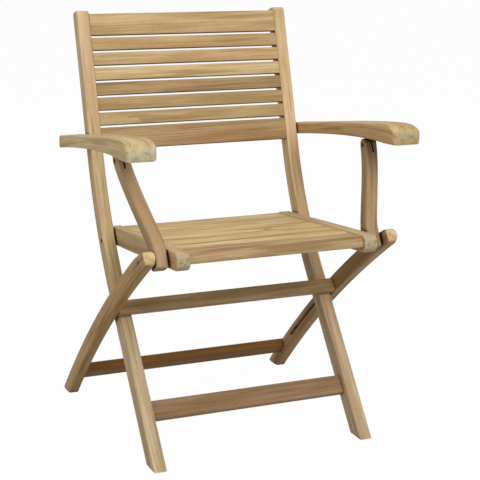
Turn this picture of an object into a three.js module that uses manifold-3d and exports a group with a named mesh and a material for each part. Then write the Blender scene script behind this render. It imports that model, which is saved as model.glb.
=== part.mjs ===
// A folding teak armchair. Two uprights run from the front feet to the top of the back, two bowed rear legs
// cross them, a slatted seat hangs between them, and two arms stand on splayed supports.
// Millimetres, +Z up. X runs across the chair, +X is the sitter's left, and the chair faces -Y.
// A place in the side view is a pair [y, z]. The origin is on the floor, under the middle of the open chair.
import * as THREE from "three";
import { mergeVertices } from "three/addons/utils/BufferGeometryUtils.js";
import Module from "manifold-3d";

const wasm = await Module();
wasm.setup();

const degree = Math.PI / 180;
const clearance = 0.3; // between two pieces that touch
const overrun = 6; // how far a cutter runs past the wood
const edgeRound = 3; // on the long edges of the members
const roundSteps = 2;
const cornerSteps = 5;
const halvings = 40; // steps when a place is found by halving
const cornerShare = 0.49; // of a side, the most that one rounded corner may use
const roundSides = 20; // of a bolt, a pin or a bore

// Across the chair, from the middle outwards.
const seatClearWidth = 382;
const seatRailThick = 28.5;
const railToUpright = 2.5;
const uprightThick = 28;
const uprightToLeg = 4.5;
const rearLegThick = 25;
const uprightToArm = 2;
const railInner = seatClearWidth / 2;
const railOuter = railInner + seatRailThick;
const uprightInner = railOuter + railToUpright;
const uprightOuter = uprightInner + uprightThick;
const legInner = uprightOuter + uprightToLeg;
const legOuter = legInner + rearLegThick;
const armInner = uprightOuter + uprightToArm;

// Uprights: heights are measured on the front edge, and depths square to it.
const uprightHeight = 884;
const legLean = 38.96 * degree;
const backLean = 17.8 * degree;
const bendHeight = 435.7; // where the two straight stretches of the front edge would meet
const bendRadius = 800;
const bendSteps = 12;
const footDepth = 39;
const bendDepth = 33;
const topDepth = 30.5;
const topRound = 9;

// Boards between the uprights.
const crownDrop = 8; // from the top of the upright to the crown slat, along the upright
const wideBackSlat = 48.2;
const narrowBackSlat = 28.1;
const narrowBackSlats = 6;
const backSlatGap = 5;
const backSlatThick = 13;
const backSlatRecess = 2;
const frontStretcherRise = 115; // from the floor to its lower edge, along the upright
const frontStretcherWide = 41;
const frontStretcherThick = 18;
const frontStretcherRecess = 13;
const boardRound = 3;
const tenonLong = 11;
const tenonWideShare = 0.6;
const tenonThickShare = 0.5;

// Seat: its own frame has the rear pivot as its origin, and its Y runs back along the rails.
const seatSlope = 5.72 * degree;
const seatPivotHeight = 411;
const seatPivotShare = 0.4; // of the upright's depth
const pivotSpan = 321;
const seatRailDepth = 37.5;
const rearPivotRise = 12.5; // above the rail's lower edge
const frontPivotRise = 16.5;
const railBehind = 44.5;
const railAhead = 55;
const railNoseRound = 15;
const railTailRound = 9;
const narrowSeatSlats = 8;
const rearSlatWide = 44.7;
const frontSlatWide = 63;
const seatSlatGap = 4.5;
const seatSlatThick = 15;
const seatSlatDrop = 3;
const frontSlatThick = 22;
const frontSlatNose = 15;
const slatNoseReveal = 7;
const slatTailReveal = 1;

// Rear legs: an arc through the front pivot and the foot.
const footSpan = 522; // from the front feet's front edge to the middle of the rear feet, on the floor
const legBow = 19.5;
const rearLegDepth = 35.5;
const legNose = 20;
const legNoseDrop = 4.5; // how far the upper edge drops towards the nose
const legNoseTaper = 50;
const legSteps = 14;
const noseSteps = 8;
const grooveWide = 8;
const grooveDeep = 9;
const grooveAbove = 12; // past the crossing pin, towards the front pivot
const grooveBelow = 243;
const crossRailWide = 20;
const crossRailDeep = 28.5;
const crossRailRecess = 1;
const crossRailGap = 0.5; // to the uprights that it rests on
const rearStretcherRise = 76; // from the floor to its middle, along the leg
const rearStretcherWide = 38;
const rearStretcherThick = 20;
const rearStretcherRecess = 1;

// Arms: their own frame has the arm pivot as its origin.
const armPivotRise = 198; // above the seat's rear pivot
const armPivotHeight = seatPivotHeight + armPivotRise;
const armPivotShare = 0.73; // behind the back slats
const armBehind = 24;
const armLength = 483;
const armRearDepth = 27.6;
const armRearBelow = 11.5; // from the pivot down to the lower edge of the rear end
const armRise = 61;
const armNose = 68;
const armNoseDepth = 34;
const armRearWide = 54;
const armNoseWide = 63;
const armNoseOut = 2.5; // how far the inner edge has moved outwards at the nose
const armEdgeRound = 4;
const armCornerRound = 12;
const armCurveSteps = 12;
// Curve points as shares of the straight length and of the rise, from the rear end.
const armTopShares = [[0.2, 0.2], [0.7, 0.82], [1, 1.03]];
const armUnderShares = [[0.18, 0.25], [0.76, 0.9], [1.05, 0.86]];
// Curve points as shares of the nose's length and depth, from the end of the top.
const noseTopShares = [[0.58, -0.13], [1, -0.02], [1, 0.7]];
const noseCornerShare = [0.985, 1.02]; // the corner under the nose
const armPinAhead = 311; // from the arm pivot to the pin in the support
const armPinDrop = 16.5; // from the armrest's underside to that pin
const supportFootHalf = 16;
const supportFootEnd = 18; // from the front pivot to the foot's square end
const supportFootRound = 4;
const supportTopRadius = 14;
const supportSplay = 42;
// The splay seen from the front, as shares of the splay and of the support's rise.
const splayShares = [[0, 0.11], [0, 0.22], [0.96, 0.78], [1, 1.06]];
const splaySteps = 10;
const kerfBelow = 15; // from the pin to the bottom of the kerf
const kerfPlay = 0.5; // on each side of the tongue

// Metal parts.
const boltRadius = 3.5;
const boltHeadRadius = 4.7;
const boltHeadThick = 4;
const socketRadius = 2.6;
const socketDeep = 2.4;
const headSink = 4; // how far a bolt head or a nut lies below the wood
const nutRadius = 5.4;
const nutThick = 6;
const nutWall = 1.5;
const washerRadius = 10;
const armBoltReach = 28; // into the armrest
const crossPinRadius = 3.2;
const crossPinSeat = 16;
const crossPinGap = 0.4; // to the rear leg's inner face
const armPinRadius = 2.6;
const armPinLong = 23;
const armPinPlay = 4; // round the pin in the tongue
const tongueThick = 2.5;
const tongueRadius = 10;
const flangeLong = 64;
const flangeWide = 18;
const flangeThick = 2.5;
const screwSpacing = 44;
const screwRadius = 1.9;
const screwHeadRadius = 3.8;
const screwHeadThick = 1.6;
const screwLong = 17;

// Helpers for places in the side view.
const add = (a, b, scale = 1) => [a[0] + scale * b[0], a[1] + scale * b[1]];
const along = (lean) => [Math.sin(lean), Math.cos(lean)]; // up a member that leans back
const across = (lean) => [Math.cos(lean), -Math.sin(lean)]; // square to it, towards the rear
const turned = (p, angle) => [
  p[0] * Math.cos(angle) - p[1] * Math.sin(angle),
  p[0] * Math.sin(angle) + p[1] * Math.cos(angle),
];
const between = (a, b, share) => add(a, [b[0] - a[0], b[1] - a[1]], share);
const atFloor = (a, b) => between(a, b, a[1] / (a[1] - b[1]));

// The upright's front edge: a straight leg, a bend and a straight back.
const bendCorner = [bendHeight * Math.tan(legLean), bendHeight];
const bendTangent = bendRadius * Math.tan((legLean - backLean) / 2);
const bendStart = add(bendCorner, along(legLean), -bendTangent);
const bendEnd = add(bendCorner, along(backLean), bendTangent);
const bendCentre = add(bendStart, across(legLean), -bendRadius);

function leanAt(height) {
  if (height <= bendStart[1]) return legLean;
  if (height >= bendEnd[1]) return backLean;
  return Math.asin((bendCentre[1] - height) / bendRadius);
}

function frontEdge(height) {
  if (height <= bendStart[1]) return [height * Math.tan(legLean), height];
  if (height >= bendEnd[1]) return [bendCorner[0] + (height - bendHeight) * Math.tan(backLean), height];
  return add(bendCentre, across(leanAt(height)), bendRadius);
}

function depthAt(height) {
  if (height <= bendHeight) return footDepth + ((bendDepth - footDepth) * height) / bendHeight;
  return bendDepth + ((topDepth - bendDepth) * (height - bendHeight)) / (uprightHeight - bendHeight);
}

// A place behind the front edge, at a distance square to it.
const behindEdge = (height, distance) => add(frontEdge(height), across(leanAt(height)), distance);
const rearEdge = (height) => behindEdge(height, depthAt(height));

// The main pivots.
const seatPivot = behindEdge(seatPivotHeight, depthAt(seatPivotHeight) * seatPivotShare);
const frontPivotLocal = [-pivotSpan, frontPivotRise - rearPivotRise];
const frontPivot = add(seatPivot, turned(frontPivotLocal, -seatSlope));
const armPivot = behindEdge(armPivotHeight, depthAt(armPivotHeight) * armPivotShare);

// The rear leg's middle line: an arc whose centre lies below and in front of it.
const rearFoot = [footSpan, 0];
const legChord = Math.hypot(rearFoot[0] - frontPivot[0], rearFoot[1] - frontPivot[1]);
const legRadius = (legChord ** 2 / 4 + legBow ** 2) / (2 * legBow);
const legChordAngle = Math.atan2(rearFoot[1] - frontPivot[1], rearFoot[0] - frontPivot[0]);
const legNormal = [-Math.sin(legChordAngle), Math.cos(legChordAngle)];
const legCentre = add(between(frontPivot, rearFoot, 0.5), legNormal, legBow - legRadius);
const angleOnLeg = (p) => Math.atan2(p[1] - legCentre[1], p[0] - legCentre[0]);
const onLeg = (angle, offset = 0) =>
  add(legCentre, [Math.cos(angle), Math.sin(angle)], legRadius + offset);
const legHalf = rearLegDepth / 2;
const frontPivotAngle = angleOnLeg(frontPivot);
const rearFootAngle = angleOnLeg(rearFoot);

// Where the upright's middle line crosses the rear leg's, found by halving.
function crossingHeight() {
  let low = 0;
  let high = bendHeight;
  for (let step = 0; step < halvings; step++) {
    const middle = (low + high) / 2;
    const place = behindEdge(middle, depthAt(middle) / 2);
    const reach = Math.hypot(place[0] - legCentre[0], place[1] - legCentre[1]);
    if (reach < legRadius) low = middle;
    else high = middle;
  }
  return (low + high) / 2;
}
const crossHeight = crossingHeight();
const crossing = behindEdge(crossHeight, depthAt(crossHeight) / 2);
const crossingAngle = angleOnLeg(crossing);

// Solids.
const sideBasis = new THREE.Matrix4().makeBasis(
  new THREE.Vector3(0, 1, 0),
  new THREE.Vector3(0, 0, 1),
  new THREE.Vector3(1, 0, 0),
);

// A closed shape through corners [y, z, radius], with the corners that have a radius rounded.
function roundedShape(corners) {
  const shape = new THREE.Shape();
  corners.forEach(([y, z, radius = 0], i) => {
    const before = corners[(i + corners.length - 1) % corners.length];
    const after = corners[(i + 1) % corners.length];
    const cut = (other) => {
      const length = Math.hypot(other[0] - y, other[1] - z);
      return between([y, z], other, Math.min(radius / length, cornerShare));
    };
    const first = radius ? cut(before) : [y, z];
    if (i) shape.lineTo(...first);
    else shape.moveTo(...first);
    if (radius) shape.quadraticCurveTo(y, z, ...cut(after));
  });
  shape.closePath();
  return shape;
}

// A side-view shape made thick along X, from 0, with its long edges rounded.
function sideSolid(shape, thick, round = 0) {
  const geometry = new THREE.ExtrudeGeometry(shape, {
    depth: thick - 2 * round,
    bevelEnabled: round > 0,
    bevelThickness: round,
    bevelSize: round,
    bevelOffset: -round,
    bevelSegments: roundSteps,
    curveSegments: cornerSteps,
  });
  geometry.translate(0, 0, round);
  return geometry.applyMatrix4(sideBasis);
}

// A turned piece along X from a profile of [x, radius] pairs, listed from its first end to its last.
function turnedSolid(profile) {
  const points = profile.map(([x, radius]) => new THREE.Vector2(radius, x));
  return new THREE.LatheGeometry(points, roundSides).rotateZ(-Math.PI / 2);
}

const rod = (start, end, radius) => turnedSolid([[start, 0], [start, radius], [end, radius], [end, 0]]);
const ring = (thick, radius, bore) =>
  turnedSolid([[0, bore], [0, radius], [thick, radius], [thick, bore], [0, bore]]);

function block(x0, x1, y0, y1, z0, z1) {
  const geometry = new THREE.BoxGeometry(x1 - x0, y1 - y0, z1 - z0);
  return geometry.translate((x0 + x1) / 2, (y0 + y1) / 2, (z0 + z1) / 2);
}

const movedTo = (geometry, place, x = 0) => geometry.translate(x, place[0], place[1]);

function toManifold(source) {
  const geometry = source.clone();
  geometry.deleteAttribute("normal");
  geometry.deleteAttribute("uv");
  const merged = mergeVertices(geometry);
  const index = merged.index.array;
  const kept = [];
  for (let i = 0; i < index.length; i += 3) {
    const [a, b, c] = [index[i], index[i + 1], index[i + 2]];
    if (a !== b && b !== c && c !== a) kept.push(a, b, c);
  }
  return new wasm.Manifold(
    new wasm.Mesh({
      numProp: 3,
      vertProperties: new Float32Array(merged.attributes.position.array),
      triVerts: new Uint32Array(kept),
    }),
  );
}

function fromManifold(solid) {
  const mesh = solid.getMesh();
  const geometry = new THREE.BufferGeometry();
  geometry.setAttribute("position", new THREE.BufferAttribute(mesh.vertProperties, mesh.numProp));
  geometry.setIndex(new THREE.BufferAttribute(mesh.triVerts, 1));
  geometry.computeVertexNormals();
  return geometry;
}

const cutAway = (geometry, tools) =>
  fromManifold(tools.reduce((solid, tool) => solid.subtract(toManifold(tool)), toManifold(geometry)));
const joined = (geometry, other) => fromManifold(toManifold(geometry).add(toManifold(other)));
const common = (geometry, other) => fromManifold(toManifold(geometry).intersect(toManifold(other)));

// The same piece for the other side of the chair.
function mirrored(source) {
  const geometry = source.index ? source.clone() : mergeVertices(source);
  geometry.scale(-1, 1, 1);
  const index = geometry.index.array;
  for (let i = 0; i < index.length; i += 3) {
    const swapped = index[i + 1];
    index[i + 1] = index[i + 2];
    index[i + 2] = swapped;
  }
  geometry.computeVertexNormals();
  return geometry;
}

// Materials.
const wood = (color) => new THREE.MeshStandardMaterial({ color, roughness: 0.6, metalness: 0 });
const metal = (color) => new THREE.MeshStandardMaterial({ color, roughness: 0.35, metalness: 1 });
const finishes = {
  frame: () => wood(0xcfa877),
  slat: () => wood(0xd8b387),
  brace: () => wood(0x9c6f45),
  arm: () => wood(0xd3aa78),
  brass: () => metal(0xb08d4f),
  steel: () => metal(0x8f8f8f),
};

function piece(parent, name, geometry, finish, place = [0, 0], x = 0) {
  const mesh = new THREE.Mesh(geometry, finishes[finish]());
  mesh.name = name;
  mesh.position.set(x, place[0], place[1]);
  parent.add(mesh);
  return mesh;
}

// A piece on each side, from the geometry of the left one and the X of its inner face.
function pair(parent, name, geometry, finish, place, x) {
  piece(parent, name + "_left", geometry, finish, place, x);
  piece(parent, name + "_right", mirrored(geometry), finish, place, -x);
}

// Boards run across the chair with a tenon at each end. In a board's own frame Y goes through it, from its
// face, and Z along its width. A thick board's tenon can line up with a thinner one's, by its tenonBase.
function boardPiece(halfSpan, { wide, thick, tenonBase = thick, nose = boardRound }) {
  const section = roundedShape([
    [-thick / 2, -wide / 2, nose],
    [thick / 2, -wide / 2, boardRound],
    [thick / 2, wide / 2, boardRound],
    [-thick / 2, wide / 2, boardRound],
  ]);
  const half = halfSpan - clearance;
  const body = movedTo(sideSolid(section, 2 * half), [0, 0], -half);
  return joined(body, tenonBar(half + tenonLong, wide, thick, tenonBase, 0));
}

function tenonBar(half, wide, thick, tenonBase, grow) {
  const middle = (tenonBase - thick) / 2;
  const halfThick = (tenonBase * tenonThickShare) / 2 + grow;
  const halfWide = (wide * tenonWideShare) / 2 + grow;
  return block(-half, half, middle - halfThick, middle + halfThick, -halfWide, halfWide);
}

// The mortise for a board, in the frame of a member whose inner face is at X = 0.
function mortise({ wide, thick, tenonBase = thick, place, lean }) {
  const tool = tenonBar(tenonLong + clearance, wide, thick, tenonBase, clearance);
  return movedTo(tool.rotateX(-lean), place);
}

function acrossBoard(parent, name, spec, halfSpan, finish) {
  piece(parent, name, boardPiece(halfSpan, spec), finish, spec.place).rotation.x = -spec.lean;
}

// The back slats from the crown down, then the front stretcher.
function backSlatSpecs() {
  const wides = [wideBackSlat, ...Array(narrowBackSlats).fill(narrowBackSlat), wideBackSlat];
  let used = crownDrop;
  return wides.map((wide) => {
    const height = uprightHeight - (used + wide / 2) * Math.cos(backLean);
    used += wide + backSlatGap;
    const place = behindEdge(height, backSlatRecess + backSlatThick / 2);
    return { wide, thick: backSlatThick, place, lean: leanAt(height) };
  });
}

function frontStretcherSpec() {
  const height = (frontStretcherRise + frontStretcherWide / 2) * Math.cos(legLean);
  const place = behindEdge(height, frontStretcherRecess + frontStretcherThick / 2);
  return { wide: frontStretcherWide, thick: frontStretcherThick, place, lean: legLean };
}

function uprightShape() {
  const heights = [];
  for (let step = 0; step <= bendSteps; step++) {
    const lean = legLean + ((backLean - legLean) * step) / bendSteps;
    heights.push(bendCentre[1] - bendRadius * Math.sin(lean));
  }
  const front = heights.map((height) => frontEdge(height));
  const rear = heights.map((height) => rearEdge(height)).reverse();
  const heel = atFloor(rearEdge(heights[0]), rearEdge(0));
  return roundedShape([
    [...frontEdge(0)],
    ...front,
    [...frontEdge(uprightHeight), topRound],
    [...rearEdge(uprightHeight), topRound],
    ...rear,
    [...heel],
  ]);
}

function uprightPiece() {
  const body = sideSolid(uprightShape(), uprightThick, edgeRound);
  const mortises = [...backSlatSpecs(), frontStretcherSpec()].map(mortise);
  const headDeep = headSink + boltHeadThick;
  const through = (place) =>
    movedTo(rod(-overrun, uprightThick + overrun, boltRadius + clearance), place);
  const outerSink = rod(uprightThick - headDeep, uprightThick + overrun, boltHeadRadius + clearance);
  const innerSink = rod(-overrun, headDeep, boltHeadRadius + clearance);
  const pinSeat = rod(
    uprightThick - crossPinSeat - clearance,
    uprightThick + overrun,
    crossPinRadius + clearance,
  );
  return cutAway(body, [
    ...mortises,
    through(seatPivot),
    movedTo(outerSink, seatPivot),
    through(armPivot),
    movedTo(innerSink, armPivot),
    movedTo(pinSeat, crossing),
  ]);
}

// Bolts lie along X from their head's outer face, and a nut closes their far end.
function boltPiece(long) {
  return turnedSolid([
    [-long, 0],
    [-long, boltRadius],
    [-boltHeadThick, boltRadius],
    [-boltHeadThick, boltHeadRadius],
    [0, boltHeadRadius],
    [0, socketRadius],
    [-socketDeep, socketRadius],
    [-socketDeep, 0],
  ]);
}

function nutPiece() {
  return turnedSolid([
    [0, 0],
    [0, nutRadius],
    [nutThick, nutRadius],
    [nutThick, boltRadius + clearance],
    [nutWall, boltRadius + clearance],
    [nutWall, 0],
  ]);
}

const washer = (gap) => ring(gap - 2 * clearance, washerRadius, boltRadius + clearance);

function buildBackFrame(parent) {
  pair(parent, "upright", uprightPiece(), "frame", [0, 0], uprightInner);
  backSlatSpecs().forEach((spec, i) => {
    acrossBoard(parent, "back_slat_" + (i + 1), spec, uprightInner, "slat");
  });
  acrossBoard(parent, "front_stretcher", frontStretcherSpec(), uprightInner, "brace");
  const headFace = uprightOuter - headSink;
  const nutFace = railInner + headSink;
  const boltLong = headFace - nutFace - nutWall - clearance;
  pair(parent, "rear_pivot_bolt", boltPiece(boltLong), "brass", seatPivot, headFace);
  pair(parent, "rear_pivot_nut", nutPiece(), "brass", seatPivot, nutFace);
  pair(parent, "rear_pivot_washer", washer(railToUpright), "steel", seatPivot, railOuter + clearance);
  const armBoltLong = uprightThick - headSink + uprightToArm + armBoltReach;
  const armBolt = mirrored(boltPiece(armBoltLong));
  pair(parent, "arm_pivot_bolt", armBolt, "brass", armPivot, uprightInner + headSink);
  pair(parent, "arm_pivot_washer", washer(uprightToArm), "steel", armPivot, uprightOuter + clearance);
  const pin = rod(0, crossPinSeat + uprightToLeg - crossPinGap, crossPinRadius);
  pair(parent, "crossing_pin", pin, "steel", crossing, uprightOuter - crossPinSeat);
}

// Rear leg frame.
const floorAngle = (offset) => Math.PI / 2 - Math.acos(-legCentre[1] / (legRadius + offset));

// Points on an arc at an offset from the leg's middle line, without its two ends.
function arcPoints(offset, start, end) {
  const points = [];
  for (let step = 1; step < legSteps; step++) {
    points.push(onLeg(start + ((end - start) * step) / legSteps, offset));
  }
  return points;
}

// A half circle round a place at an offset from the middle line, from one edge to the other.
function capPoints(half, angle, startTurn, offset = 0) {
  const points = [];
  for (let step = 0; step <= noseSteps; step++) {
    const turn = startTurn + (Math.PI * step) / noseSteps;
    points.push(add(onLeg(angle, offset), [Math.cos(turn), Math.sin(turn)], half));
  }
  return points;
}

function rearLegShape() {
  const start = frontPivotAngle + legNose / legRadius;
  const taper = start - legNoseTaper / legRadius;
  return roundedShape([
    ...capPoints(legHalf - legNoseDrop / 2, start, start, -legNoseDrop / 2).slice(1),
    ...arcPoints(-legHalf, start, floorAngle(-legHalf)),
    onLeg(floorAngle(-legHalf), -legHalf),
    onLeg(floorAngle(legHalf), legHalf),
    ...arcPoints(legHalf, floorAngle(legHalf), taper),
    onLeg(taper, legHalf),
  ]);
}

function grooveShape() {
  const start = crossingAngle + grooveAbove / legRadius;
  const end = crossingAngle - grooveBelow / legRadius;
  const half = grooveWide / 2;
  return roundedShape([
    ...capPoints(half, start, start),
    ...arcPoints(-half, start, end),
    ...capPoints(half, end, end + Math.PI),
    ...arcPoints(half, end, start),
  ]);
}

function crossRailSpec() {
  const square = -(crossRailGap + crossRailWide / 2);
  const rise = crossRailRecess + crossRailDeep / 2 - legHalf;
  const lean = leanAt(crossHeight);
  const edge = add(crossing, across(lean), -depthAt(crossHeight) / 2);
  const place = add(add(edge, across(lean), square), along(lean), rise);
  return { wide: crossRailDeep, thick: crossRailWide, place, lean };
}

function rearStretcherSpec() {
  const angle = rearFootAngle + rearStretcherRise / legRadius;
  const offset = legHalf - rearStretcherRecess - rearStretcherThick / 2;
  return {
    wide: rearStretcherWide,
    thick: rearStretcherThick,
    place: onLeg(angle, offset),
    lean: -angle,
  };
}

function rearLegPiece() {
  const body = sideSolid(rearLegShape(), rearLegThick, edgeRound);
  const groove = movedTo(sideSolid(grooveShape(), grooveDeep + overrun), [0, 0], -overrun);
  const headDeep = headSink + boltHeadThick;
  const bore = rod(-overrun, rearLegThick + overrun, boltRadius + clearance);
  const sink = rod(rearLegThick - headDeep, rearLegThick + overrun, boltHeadRadius + clearance);
  return cutAway(body, [
    groove,
    movedTo(bore, frontPivot),
    movedTo(sink, frontPivot),
    mortise(crossRailSpec()),
    mortise(rearStretcherSpec()),
  ]);
}

function buildRearLegFrame(parent) {
  pair(parent, "rear_leg", rearLegPiece(), "frame", [0, 0], legInner);
  acrossBoard(parent, "crossing_rail", crossRailSpec(), legInner, "brace");
  acrossBoard(parent, "rear_stretcher", rearStretcherSpec(), legInner, "brace");
}

// Seat, in its own frame.
function seatSlatSpecs() {
  const narrowWide =
    (railBehind - slatTailReveal + pivotSpan + railAhead - slatNoseReveal -
      rearSlatWide - frontSlatWide - (narrowSeatSlats + 1) * seatSlatGap) / narrowSeatSlats;
  const wides = [rearSlatWide, ...Array(narrowSeatSlats).fill(narrowWide)];
  const top = seatRailDepth - rearPivotRise - seatSlatDrop;
  let edge = railBehind - slatTailReveal;
  const specs = wides.map((wide) => {
    const place = [edge - wide / 2, top - seatSlatThick / 2];
    edge -= wide + seatSlatGap;
    return { wide, thick: seatSlatThick, place, lean: Math.PI / 2 };
  });
  specs.push({
    wide: frontSlatWide,
    thick: frontSlatThick,
    tenonBase: seatSlatThick,
    nose: frontSlatNose,
    place: [edge - frontSlatWide / 2, top - frontSlatThick / 2],
    lean: Math.PI / 2,
  });
  return specs;
}

function seatRailPiece() {
  const under = -rearPivotRise;
  const top = seatRailDepth - rearPivotRise;
  const front = -pivotSpan - railAhead;
  const shape = roundedShape([
    [front, under, railNoseRound],
    [railBehind, under, railTailRound],
    [railBehind, top, railTailRound],
    [front, top, railNoseRound],
  ]);
  const body = sideSolid(shape, seatRailThick, edgeRound);
  const bore = () => rod(-overrun, seatRailThick + overrun, boltRadius + clearance);
  const nutSeat = () => rod(-overrun, headSink + nutThick + clearance, nutRadius + clearance);
  return cutAway(body, [
    ...seatSlatSpecs().map(mortise),
    bore(),
    nutSeat(),
    movedTo(bore(), frontPivotLocal),
    movedTo(nutSeat(), frontPivotLocal),
  ]);
}

function buildSeat(parent) {
  const seat = new THREE.Group();
  seat.position.set(0, ...seatPivot);
  seat.rotation.x = -seatSlope;
  parent.add(seat);
  pair(seat, "seat_rail", seatRailPiece(), "frame", [0, 0], railInner);
  seatSlatSpecs().forEach((spec, i) => {
    acrossBoard(seat, "seat_slat_" + (i + 1), spec, railInner, "slat");
  });
  const headFace = legOuter - headSink;
  const nutFace = railInner + headSink;
  const boltLong = headFace - nutFace - nutWall - clearance;
  pair(seat, "front_pivot_bolt", boltPiece(boltLong), "brass", frontPivotLocal, headFace);
  pair(seat, "front_pivot_nut", nutPiece(), "brass", frontPivotLocal, nutFace);
  const innerX = railOuter + clearance;
  const outerX = uprightOuter + clearance;
  pair(seat, "front_inner_washer", washer(railToUpright), "steel", frontPivotLocal, innerX);
  pair(seat, "front_outer_washer", washer(uprightToLeg), "steel", frontPivotLocal, outerX);
}

// Arms, each in its own frame at the arm pivot.
const armRearUnder = [armBehind, -armRearBelow];
const armRearTop = [armBehind, armRearDepth - armRearBelow];
const armStraight = armLength - armNose;
const armPoint = (start, [back, up]) => [start[0] - back * armStraight, start[1] + up * armRise];
const armTopEnd = armPoint(armRearTop, armTopShares[2]);
const armUnderEnd = armPoint(armRearUnder, armUnderShares[2]);
const nosePoint = ([ahead, down]) => [armTopEnd[0] - ahead * armNose, armTopEnd[1] - down * armNoseDepth];

function curve(points) {
  return new THREE.CubicBezierCurve(...points.map(([a, b]) => new THREE.Vector2(a, b)));
}
const armTopCurve = curve([armRearTop, ...armTopShares.map((share) => armPoint(armRearTop, share))]);
const armUnderCurve = curve([
  armRearUnder,
  ...armUnderShares.map((share) => armPoint(armRearUnder, share)),
]);
const noseTopCurve = curve([armTopEnd, ...noseTopShares.map(nosePoint)]);

// The place on a curve where one of its coordinates has a value, found by halving.
function whereOn(path, axis, value) {
  let low = 0;
  let high = 1;
  const rises = path.getPoint(1)[axis] > path.getPoint(0)[axis];
  for (let step = 0; step < halvings; step++) {
    const middle = (low + high) / 2;
    if (path.getPoint(middle)[axis] < value === rises) low = middle;
    else high = middle;
  }
  return (low + high) / 2;
}

const underShare = whereOn(armUnderCurve, "x", -armPinAhead);
const underPlace = armUnderCurve.getPoint(underShare);
const underTangent = armUnderCurve.getTangent(underShare);
const underSlope = Math.atan2(underTangent.y, -underTangent.x); // how far it rises towards the nose
const underDown = [-Math.sin(underSlope), -Math.cos(underSlope)];
const armPinLocal = add([underPlace.x, underPlace.y], underDown, armPinDrop);
const armPin = add(armPivot, armPinLocal);
const supportVector = [armPin[0] - frontPivot[0], armPin[1] - frontPivot[1]];

// The splay of the support: its outer face seen from the front, from the foot's inner face.
const splayCurve = curve(
  splayShares.map(([out, up]) => [uprightThick + out * supportSplay, up * supportVector[1]]),
);
const armPinX = splayCurve.getPoint(whereOn(splayCurve, "y", supportVector[1])).x - uprightThick / 2;

function armrestPiece() {
  const corner = (point) => [point.x, point.y];
  const top = armTopCurve.getPoints(armCurveSteps).map(corner);
  const nose = noseTopCurve.getPoints(armCurveSteps / 2).map(corner).slice(1);
  const under = armUnderCurve.getPoints(armCurveSteps).map(corner).reverse();
  const outline = roundedShape([...top, ...nose, nosePoint(noseCornerShare), ...under].reverse());
  const body = widened(sideSolid(outline, armRearWide, armEdgeRound));
  return common(cutAway(body, armrestCuts()), armPlanSolid());
}

// The armrest widens towards the nose: each point moves sideways by its share of the way there.
function widened(geometry) {
  const places = geometry.attributes.position;
  for (let i = 0; i < places.count; i++) {
    const share = (armBehind - places.getY(i)) / armLength;
    const wide = armRearWide + share * (armNoseWide - armRearWide);
    places.setX(i, share * armNoseOut + (places.getX(i) * wide) / armRearWide);
  }
  return geometry;
}

function armPlanSolid() {
  const front = armBehind - armLength - clearance;
  const low = -armRearBelow - overrun;
  const high = armRearTop[1] + armRise + armNoseDepth;
  const shape = roundedShape([
    [armNoseOut - clearance, front, armCornerRound],
    [armNoseOut + armNoseWide + clearance, front, armCornerRound],
    [armRearWide + clearance, armBehind + clearance],
    [-clearance, armBehind + clearance],
  ]);
  const solid = new THREE.ExtrudeGeometry(shape, {
    depth: high - low,
    bevelEnabled: false,
    curveSegments: cornerSteps,
  });
  return solid.translate(0, 0, low);
}

const tongueX = uprightInner + armPinX - armInner; // in the armrest's frame
const onUnderside = (geometry) =>
  movedTo(geometry.rotateX(-underSlope), [underPlace.x, underPlace.y], tongueX);

function armrestCuts() {
  const reach = armBoltReach + clearance;
  const boltHole = rod(-overrun, reach, boltRadius + clearance);
  const halfLong = flangeLong / 2 + clearance;
  const halfWide = flangeWide / 2 + clearance;
  const pocketTop = flangeThick + clearance;
  const pocket = block(-halfWide, halfWide, -halfLong, halfLong, -overrun, pocketTop);
  const pilots = [-1, 1].map((side) => {
    const hole = stoodUp(rod(-overrun, screwLong + clearance, screwRadius + clearance));
    return onUnderside(hole.translate(0, (side * screwSpacing) / 2, 0));
  });
  return [boltHole, onUnderside(pocket), ...pilots];
}

// A turned piece stood up, so that it lies along Z.
const stoodUp = (geometry) => geometry.rotateY(-Math.PI / 2);

// The bracket's frame is on the underside above the pin: a flange in its pocket and a tongue down to the pin.
function bracketPiece() {
  const flange = block(-flangeWide / 2, flangeWide / 2, -flangeLong / 2, flangeLong / 2, 0, flangeThick);
  const tongueShape = new THREE.Shape();
  tongueShape.moveTo(tongueRadius, flangeThick / 2);
  tongueShape.lineTo(-tongueRadius, flangeThick / 2);
  tongueShape.absarc(0, -armPinDrop, tongueRadius, Math.PI, 2 * Math.PI, false);
  tongueShape.closePath();
  const tongue = movedTo(sideSolid(tongueShape, tongueThick), [0, 0], -tongueThick / 2);
  const hole = movedTo(rod(-overrun, overrun, armPinRadius + armPinPlay), [0, -armPinDrop]);
  const screwHoles = [-1, 1].map((side) => {
    const spot = (side * screwSpacing) / 2;
    const through = stoodUp(rod(-overrun, overrun, screwRadius + clearance));
    const sink = stoodUp(rod(-overrun, screwHeadThick, screwHeadRadius + clearance));
    return [through.translate(0, spot, 0), sink.translate(0, spot, 0)];
  });
  return cutAway(joined(flange, tongue), [hole, ...screwHoles.flat()]);
}

const screwPiece = () =>
  stoodUp(
    turnedSolid([
      [0, 0],
      [0, screwHeadRadius],
      [screwHeadThick - clearance, screwHeadRadius],
      [screwHeadThick - clearance, screwRadius],
      [screwLong, screwRadius],
      [screwLong, 0],
    ]),
  );

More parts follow.
